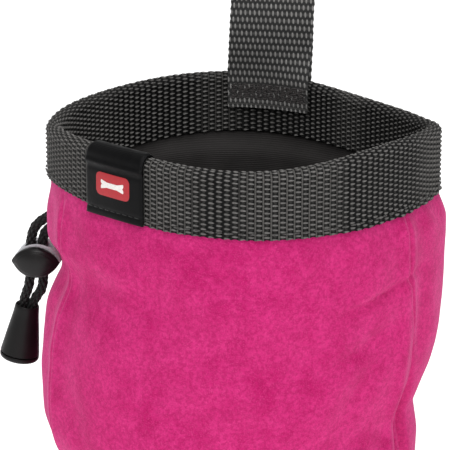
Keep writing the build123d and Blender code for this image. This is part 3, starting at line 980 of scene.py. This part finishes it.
def label_sheet():
    """The label, folded over the rim: a raised piping under the fold, pressed edges."""
    inside = LABEL_LEG + FOLD_ARC
    runs = np.concatenate([np.linspace(-0.6, LABEL_LEG, 48), np.linspace(LABEL_LEG, inside, 20)[1:],
                           np.linspace(inside, inside + 4.6, 12)[1:]])
    rim_sides = np.array([0.93, 0.96, 0.985, 1])
    side, run = np.meshgrid(np.concatenate([-rim_sides[::-1], np.linspace(-0.88, 0.88, 30), rim_sides]), runs)
    angle = LABEL_ANGLE + side * LABEL_HALF
    piping = 0.55 * hump(run - (LABEL_LEG - 1.2), 0.75) - 0.16 * hump(run - (LABEL_LEG - 2.9), 0.7)
    press = -0.22 * hump(run - LABEL_SEAM, 0.45) - 0.12 * hump(run - (inside + 3.6), 0.5)
    edge = -0.35 * smooth_step((np.abs(side) - 0.93) / 0.07)
    tall = LABEL + piping + press + puff(side, run) + edge
    tall[0] = tall[-1] = 0.45
    outer, inner = (label_points(angle, run, LABEL_GAP + above) for above in (tall, np.zeros_like(tall)))
    return cloth("label_folded", outer, inner, LABEL_SATIN, sharp=60)


def label_rows():
    """Stitches across the label's lower edge."""
    rows = []
    for middle in np.linspace(-0.82, 0.82, 9):
        ends = [LABEL_ANGLE + (middle + d) * LABEL_HALF for d in (-0.078, 0.078)]
        rows.append([label_points(angle, LABEL_SEAM, LABEL - 0.02) for angle in ends] + [outward(LABEL_ANGLE)])
    return rows


def badge(name, outline, proud, surface):
    """A flat printed shape on the label; outline holds (across, up) points round the mark's centre."""
    thick, sunk = 0.10, -0.05
    across, up = np.array(outline).T
    rings = []
    for scale, off in ((0.0, sunk), (0.5, sunk), (1.0, sunk), (1.0, thick * 0.4), (0.9, thick), (0.5, thick),
                       (0.0, thick)):
        side = (across * scale + MARK[0]) / (LABEL_WIDTH / 2)
        run = MARK[1] + up * scale
        above = LABEL_GAP + LABEL + puff(side, run) + proud + off
        rings.append(label_points(LABEL_ANGLE + side * LABEL_HALF, run, above))
    return tidy(tube_of(name, np.stack(rings), surface, caps=False, sharp=60), 0.002)


def rounded(width, height, corner):
    """A rounded rectangle, read at even steps so that it follows the label's curve."""
    points = []
    for quarter, (sx, sy) in enumerate(((1, 1), (-1, 1), (-1, -1), (1, -1))):
        for turn in np.linspace(0, pi / 2, 8) + quarter * pi / 2:
            points.append((sx * (width / 2 - corner) + corner * cos(turn),
                           sy * (height / 2 - corner) + corner * sin(turn)))
    return evenly(np.array(points + points[:1]), 121)[:-1]


def bone(length, width, knob):
    """A plain bone: a bar with two round knobs at each end."""
    points = []
    for turn in np.linspace(0, 2 * pi, 96, endpoint=False):
        c, s = cos(turn), sin(turn)
        reach = t = 0
        while t < length:
            x, y = abs(t * c), abs(t * s)
            on_bar = x < length / 2 and y < width / 2
            if t > 0.1 and not on_bar and hypot(x - length / 2, y - knob * 0.82) >= knob:
                break
            reach = t
            t += 0.02
        points.append((reach * c, reach * s))
    return points


label = label_sheet()
label_thread = stitches("label_stitches", label_rows(), 0.34, 0.3, LABEL_THREAD)
mark_field = badge("label_mark_field", rounded(11.6, 6.4, 1.5), 0.0, PRINT_RED)
mark_bone = badge("label_mark_bone", bone(6.0, 1.5, 0.95), 0.09, PRINT_WHITE)


# Cords


def nurbs_points(name, route):
    """Points along the route's NURBS spline, from its first point."""
    curve = bpy.data.curves.new(name, "CURVE")
    curve.dimensions = "3D"
    curve.resolution_u = 24
    spline = curve.splines.new("NURBS")
    spline.points.add(len(route) - 1)
    for point, (x, z) in zip(spline.points, route):
        point.co = (x * MM, 0, z * MM, 1)
    spline.order_u = 3
    spline.use_endpoint_u = True
    holder = shown(name, curve)
    mesh = bpy.data.meshes.new_from_object(holder)
    points = np.array([v.co for v in mesh.vertices]) / MM
    bpy.data.objects.remove(holder)
    bpy.data.meshes.remove(mesh)
    first_is_start = abs(points[0][2] - route[0][1]) < 0.5
    return points if first_is_start else points[::-1]


def frames(points):
    """A side and another side square to a line at each of its points, without twist."""
    tangent = np.gradient(points, axis=0)
    tangent /= np.linalg.norm(tangent, axis=1)[:, None]
    side = np.cross(tangent[0], (0, 1, 0) if abs(tangent[0][1]) < 0.9 else (1, 0, 0))
    for along in tangent:
        side = side - along * (side @ along)
        side /= np.linalg.norm(side)
        yield side, np.cross(along, side)


def braided(name, points, radius):
    """A round braid along a line: its strands cross over and under, so that its surface is knobbly."""
    length = length_of(points)
    count = int(np.ceil(length / 0.22))
    points = evenly(points, count)
    sides = 48
    t = np.arange(sides) * 2 * pi / sides
    grid = []
    for k, (side, other) in enumerate(frames(points)):
        along = k / (count - 1) * length / BRAID_PITCH
        crossing = np.sin(BRAID_TURNS / 2 * t + pi * along) * np.sin(BRAID_TURNS / 2 * t - pi * along)
        size = radius * (0.82 + 0.25 * np.abs(crossing) ** 0.6)
        if k in (0, count - 1):
            size = size * 0.75
        grid.append(points[k] + side * (size * np.cos(t))[:, None] + other * (size * np.sin(t))[:, None])

    def uv(row, col):
        return col * BRAID_TURNS / sides, row / (count - 1) * length / BRAID_PITCH

    return tube_of(name, np.array(grid), BRAID, uv=uv, sharp=70), points, length


def channel_line():
    """The drawstring in its channel; both ends stop near the slit."""
    angle = np.linspace(-172, 172, 130)
    ring = outward(angle) * (plain_wall(angle, CHANNEL_HEIGHT) - (FABRIC + LINING_INSET) / 2)[:, None]
    ring[:, 2] = CHANNEL_HEIGHT
    return ring


def knot_line():
    """A small overhand knot inside the cord end."""
    t = np.linspace(0, 2 * pi, 90)[:, None]
    down, beside = np.array(BELL_DOWN), np.array((0, 1, 0))
    x, y = np.sin(t) + 2 * np.sin(2 * t), np.cos(t) - 2 * np.cos(2 * t)
    flat = np.cross(beside, down) * x + beside * y
    return BELL_MOUTH + 0.66 * flat + down * (8.7 - 1.35 * np.sin(3 * t))


end_a, end_a_path, end_a_length = braided("cord_end_a", nurbs_points("end_a_route", END_A_ROUTE), CORD / 2)
end_b, end_b_path, end_b_length = braided("cord_end_b", nurbs_points("end_b_route", END_B_ROUTE), CORD / 2)
channel_cord, _, _ = braided("cord_in_channel", channel_line(), 1.3)
knot, _, _ = braided("cord_end_knot", knot_line(), 0.95)


# Cord lock: X across, Y from front to back and Z up, measured from the lock's middle


def lens_ring(inset):
    """The lock's outline drawn in by an inset, always with the same number of points."""
    radius = (LOCK_HALF_WIDTH ** 2 + LOCK_HALF_HEIGHT ** 2) / (2 * LOCK_HALF_HEIGHT)
    drop = radius - LOCK_HALF_HEIGHT
    inner = radius - max(inset, LOCK_CORNER)
    soft = max(LOCK_CORNER - inset, 0.0)
    tip = sqrt(max(inner ** 2 - drop ** 2, 0.0))
    limit = atan2(drop, max(tip, 1e-6))
    points = []
    for start, end, centre, size, count in (
        (-limit, limit, (tip, 0), 0.0, 10),
        (limit, pi - limit, (0, -drop), inner, 30),
        (pi - limit, pi + limit, (-tip, 0), 0.0, 10),
        (pi + limit, 2 * pi - limit, (0, drop), inner, 30),
    ):
        for t in np.linspace(start, end, count, endpoint=False):
            points.append((centre[0] + (size + soft) * cos(t), centre[1] + (size + soft) * sin(t)))
    return points


def lens_solid(name, rings, surface):
    """A solid from (inset, depth or depth function) rings, front to back."""
    grid = [[(x, depth(x, z) if callable(depth) else depth, z) for x, z in lens_ring(inset)]
            for inset, depth in rings]
    return tidy(tube_of(name, np.array(grid) + LOCK, surface, caps=False, sharp=40), 0.002)


def dome(front, radius, sign):
    """The depth function of a round face."""
    return lambda x, z: front + sign * (radius - sqrt(max(radius ** 2 - x * x - z * z, 0)))


def moved(face, by):
    return lambda x, z: face(x, z) + by


def cutter(outline, low, high):
    """An upright solid of some section, to cut or join."""
    rows = [[(x, y, z) for x, y in outline] for z in (low, high)]
    return tidy(tube_of("cutter", np.array(rows) + LOCK, LOCK_BLACK))


def stadium(length, width, low, high):
    """A solid of oblong section with round ends."""
    outline = []
    for centre, start in (((length - width) / 2, -pi / 2), ((width - length) / 2, pi / 2)):
        for t in np.linspace(start, start + pi, 12):
            outline.append((centre + width / 2 * cos(t), width / 2 * sin(t)))
    return cutter(outline, low, high)


def block(x, y, z):
    """A plain block between corners."""
    return cutter(((x[0], y[0]), (x[1], y[0]), (x[1], y[1]), (x[0], y[1])), *z)


def bake(piece):
    """Applies a piece's modifiers."""
    bpy.context.view_layer.update()
    graph = bpy.context.evaluated_depsgraph_get()
    mesh = bpy.data.meshes.new_from_object(piece.evaluated_get(graph))
    piece.modifiers.clear()
    piece.data = mesh
    return piece


def combine(piece, operation, *others):
    """Cuts or joins other solids, and removes them."""
    for other in others:
        change = piece.modifiers.new("change", "BOOLEAN")
        change.operation = operation
        change.solver = "EXACT"
        change.object = other
    bake(piece)
    for other in others:
        bpy.data.objects.remove(other)
    return piece


def soften(piece, width):
    """Rounds a piece's sharp edges."""
    change = piece.modifiers.new("soft", "BEVEL")
    change.width = width * MM
    change.segments = 2
    change.limit_method = "ANGLE"
    change.angle_limit = radians(35)
    shade(bake(piece).data, 40)
    return piece


def lock_shell():
    """The grey shell: a flat front rim, a domed back, the cords' slot and the plunger's cavity."""
    rim_front, back = -2.3, dome(5.8, 15.0, -1)
    rings = [(inset, rim_front) for inset in FACE_INSETS[::-1] + (0.9, 0.3)]
    rings += [(0.08, rim_front + 0.08), (0, rim_front + 0.3), (0, 0.5), (0, 3.0)]
    rings += [(0, moved(back, -0.5)), (0.15, moved(back, -0.18)), (0.5, back), (0.9, back)]
    rings += [(inset, back) for inset in FACE_INSETS]
    slot = stadium(SLOT_LENGTH, SLOT_WIDTH, -6, 6)
    cavity = block((-5.1, 5.1), (-3.0, 5.0), (-1.7, 1.7))
    shell = lens_solid("cord_lock_shell", rings, LOCK_GREY)
    return soften(combine(shell, "DIFFERENCE", slot, cavity), 0.12)


def lock_head():
    """The black head: a domed front with a fine groove near its edge, and the stem behind it."""
    front, back = dome(-7.25, 10.1, 1), -4.0
    rings = [(inset, front) for inset in FACE_INSETS[::-1] + (1.15,)]
    rings += [(inset, moved(front, by)) for inset, by in ((1.0, 0.18), (0.8, 0.16), (0.3, 0.22), (0.06, 0.42))]
    rings += [(0, lambda x, z: min(front(x, z) + 0.7, -4.5)), (0, -4.25), (0.12, -4.06)]
    rings += [(inset, back) for inset in (0.4, 0.9) + FACE_INSETS]
    stem = block((-5.0, 5.0), (-4.2, 2.6), (-1.6, 1.6))
    hole = block((-4.15, 4.15), (-3.1, 1.6), (-6, 6))
    head = lens_solid("cord_lock_head", rings, LOCK_BLACK)
    return soften(combine(head, "UNION", combine(stem, "DIFFERENCE", hole)), 0.10)


def spring():
    """The plunger's coil spring."""
    turns, radius, wire, start, length = 4, 1.15, 0.2, 2.9, 1.85
    turn = np.linspace(0, 2 * pi * turns, 160)
    line = np.stack([radius * np.cos(turn), start + length * turn / turn[-1], radius * np.sin(turn)], -1) + LOCK
    tangent = np.gradient(line, axis=0)
    side = np.cross(tangent, (0, 1, 0))
    other = np.cross(tangent, side)
    side, other = (v[:, None] / np.linalg.norm(v, axis=1)[:, None, None] for v in (side, other))
    t = (np.arange(8) * pi / 4)[:, None]
    rings = line[:, None] + wire * (side * np.cos(t) + other * np.sin(t))
    return tidy(tube_of("cord_lock_coil", rings, SPRING_WIRE))


shell = lock_shell()
head = lock_head()
coil = spring()


# Cord end: profiles of (radius, depth below the bell's mouth)


def bell_profile():
    rows = [(2.95, 0.35), (3.02, 0.12), (3.15, 0.0), (3.28, 0.04), (3.4, 0.2)]
    depths, radii = (0, 3, 8, 12, FOOT_TOP), (3.42, 3.74, 4.58, 5.20, BELL_FOOT_RADIUS)
    rows += [(np.interp(depth, depths, radii), depth) for depth in np.linspace(0.6, FOOT_TOP - 0.45, 26)]
    rows += [(BELL_FOOT_RADIUS - 0.03, FOOT_TOP - 0.2), (BELL_FOOT_RADIUS - 0.17, FOOT_TOP - 0.03)]
    return rows + [(4.3, FOOT_TOP - 0.03), (4.28, FOOT_TOP - 1), (3.62, 8.0), (3.3, 5.4), (2.95, 4.6)]


def foot_profile():
    rows = [(0.0, FOOT_TOP - 1.2), (4.0, FOOT_TOP - 1.2), (4.2, FOOT_TOP - 1.0), (4.2, FOOT_TOP + 0.22),
            (BELL_FOOT_RADIUS - 0.3, FOOT_TOP + 0.22), (BELL_FOOT_RADIUS - 0.11, FOOT_TOP + 0.3),
            (BELL_FOOT_RADIUS, FOOT_TOP + 0.5)]
    for t in np.linspace(0, pi / 2, 9):
        rows.append((BELL_FOOT_RADIUS - 1.45 * (1 - cos(t)), BELL_LENGTH - 1.15 + 1.1 * sin(t)))
    return rows + [(radius, BELL_LENGTH) for radius in (3.0, 1.5, 0.0)]


bell = turned("cord_end_bell_shell", bell_profile(), BELL_BLACK, BELL_MOUTH, BELL_DOWN)
cap = turned("cord_end_foot", foot_profile(), BELL_BLACK, BELL_MOUTH, BELL_DOWN)


# What rides on what

for piece, body, slot, *stood_for in (
    (front_panel, "pouch", "suede", "outer_front_panel"),
    (back_panel, "pouch", "suede", "outer_back_panel"),
    (base_cloth, "pouch", "suede", "outer_base"),
    (lining, "pouch", "lining", "lining_wall"),
    (lining_floor, "pouch", "lining", "lining_base"),
    (rim, "pouch", "webbing", "rim_webbing"),
    (rim_thread, "pouch", "thread", "rim_stitching"),
    (label, "pouch", "label", "label"),
    (label_thread, "pouch", "thread"),
    (mark_field, "pouch", "label_print_red"),
    (mark_bone, "pouch", "label_print_white"),
    (strap_thread, "pouch", "thread", "strap_stitching"),
    (slit_bars, "pouch", "thread", "slit_bartacks"),
    (channel_cord, "pouch", "cord", "drawstring_loop"),
    (end_a, "drawstring_tail", "cord", "drawstring_end_a"),
    (end_b, "drawstring_tail", "cord", "drawstring_end_b"),
    (knot, "drawstring_tail", "cord", "cord_knot"),
    (bell, "drawstring_tail", "cord_end", "cord_end_bell"),
    (cap, "drawstring_tail", "cord_end", "cord_end_cap"),
    (shell, "cord_lock", "lock_grey", "cord_lock_body"),
    (coil, "cord_lock", "spring_steel", "cord_lock_spring"),
    (head, "lock_button", "lock_black", "cord_lock_button"),
):
    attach(piece, body)
    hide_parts(*stood_for)

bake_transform(belt_strap)
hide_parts("strap_inner_end", "strap_outer_end", "belt_loop_strap")
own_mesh(coil)

print("cord lengths", round(end_a_length, 2), round(end_b_length, 2))


# Floor, light and camera

WHITE = (1, 1, 1, 1)
floor_mesh = bpy.data.meshes.new("floor")
floor_mesh.from_pydata([(-3, -3, 0), (3, -3, 0), (3, 3, 0), (-3, 3, 0)], [], [(0, 1, 2, 3)])
floor_mesh.materials.append(material("paper", Roughness=0.9, Base_Color=(0.92, 0.92, 0.92, 1),
                                     Emission_Color=WHITE, Emission_Strength=0.6))
shown("floor", floor_mesh)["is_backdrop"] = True

world = bpy.data.worlds.new("studio")
world.use_nodes = True
background = world.node_tree.nodes["Background"].inputs
background["Color"].default_value = WHITE
background["Strength"].default_value = 0.48
bpy.context.scene.world = world


def lamp(name, where, aim, size, power):
    light = bpy.data.lights.new(name, "AREA")
    light.size = size
    light.energy = power
    holder = shown(name, light)
    holder.location = where
    holder.rotation_euler = (Vector(aim) - Vector(where)).to_track_quat("-Z", "Y").to_euler()


lamp("key", (-0.04, -0.80, 0.85), (0, 0, 0.12), 0.5, 3.7)
lamp("fill", (0.75, -0.45, 0.35), (0, 0, 0.1), 0.6, 0.8)
lamp("top", (0.05, -0.05, 0.95), (0, 0.03, 0.12), 0.4, 2.0)

# The camera looks from the right and from above, 0.8 m off, at a point beside and below the rim's middle
DISTANCE = 0.8
azimuth, elevation = radians(9.3), radians(18.1)
to_camera = Vector((sin(azimuth) * cos(elevation), -cos(azimuth) * cos(elevation), sin(elevation)))
right = Vector((cos(azimuth), sin(azimuth), 0))
aim = Vector((0, 0, RIM_TOP * MM)) - right * 0.00556 - to_camera.cross(right) * 0.02939
camera_data = bpy.data.cameras.new("camera")
camera_data.lens = 230.4
camera_data.sensor_width = 36
camera = shown("camera", camera_data)
camera.location = aim + to_camera * DISTANCE
camera.rotation_mode = "QUATERNION"
camera.rotation_quaternion = to_camera.to_track_quat("Z", "Y")
bpy.context.scene.camera = camera
bpy.context.scene.view_settings.view_transform = "Standard"

boxes = {"cad": CAD_BOX, "visual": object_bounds()}
{name: [list(corner) for corner in box] for name, box in boxes.items()}
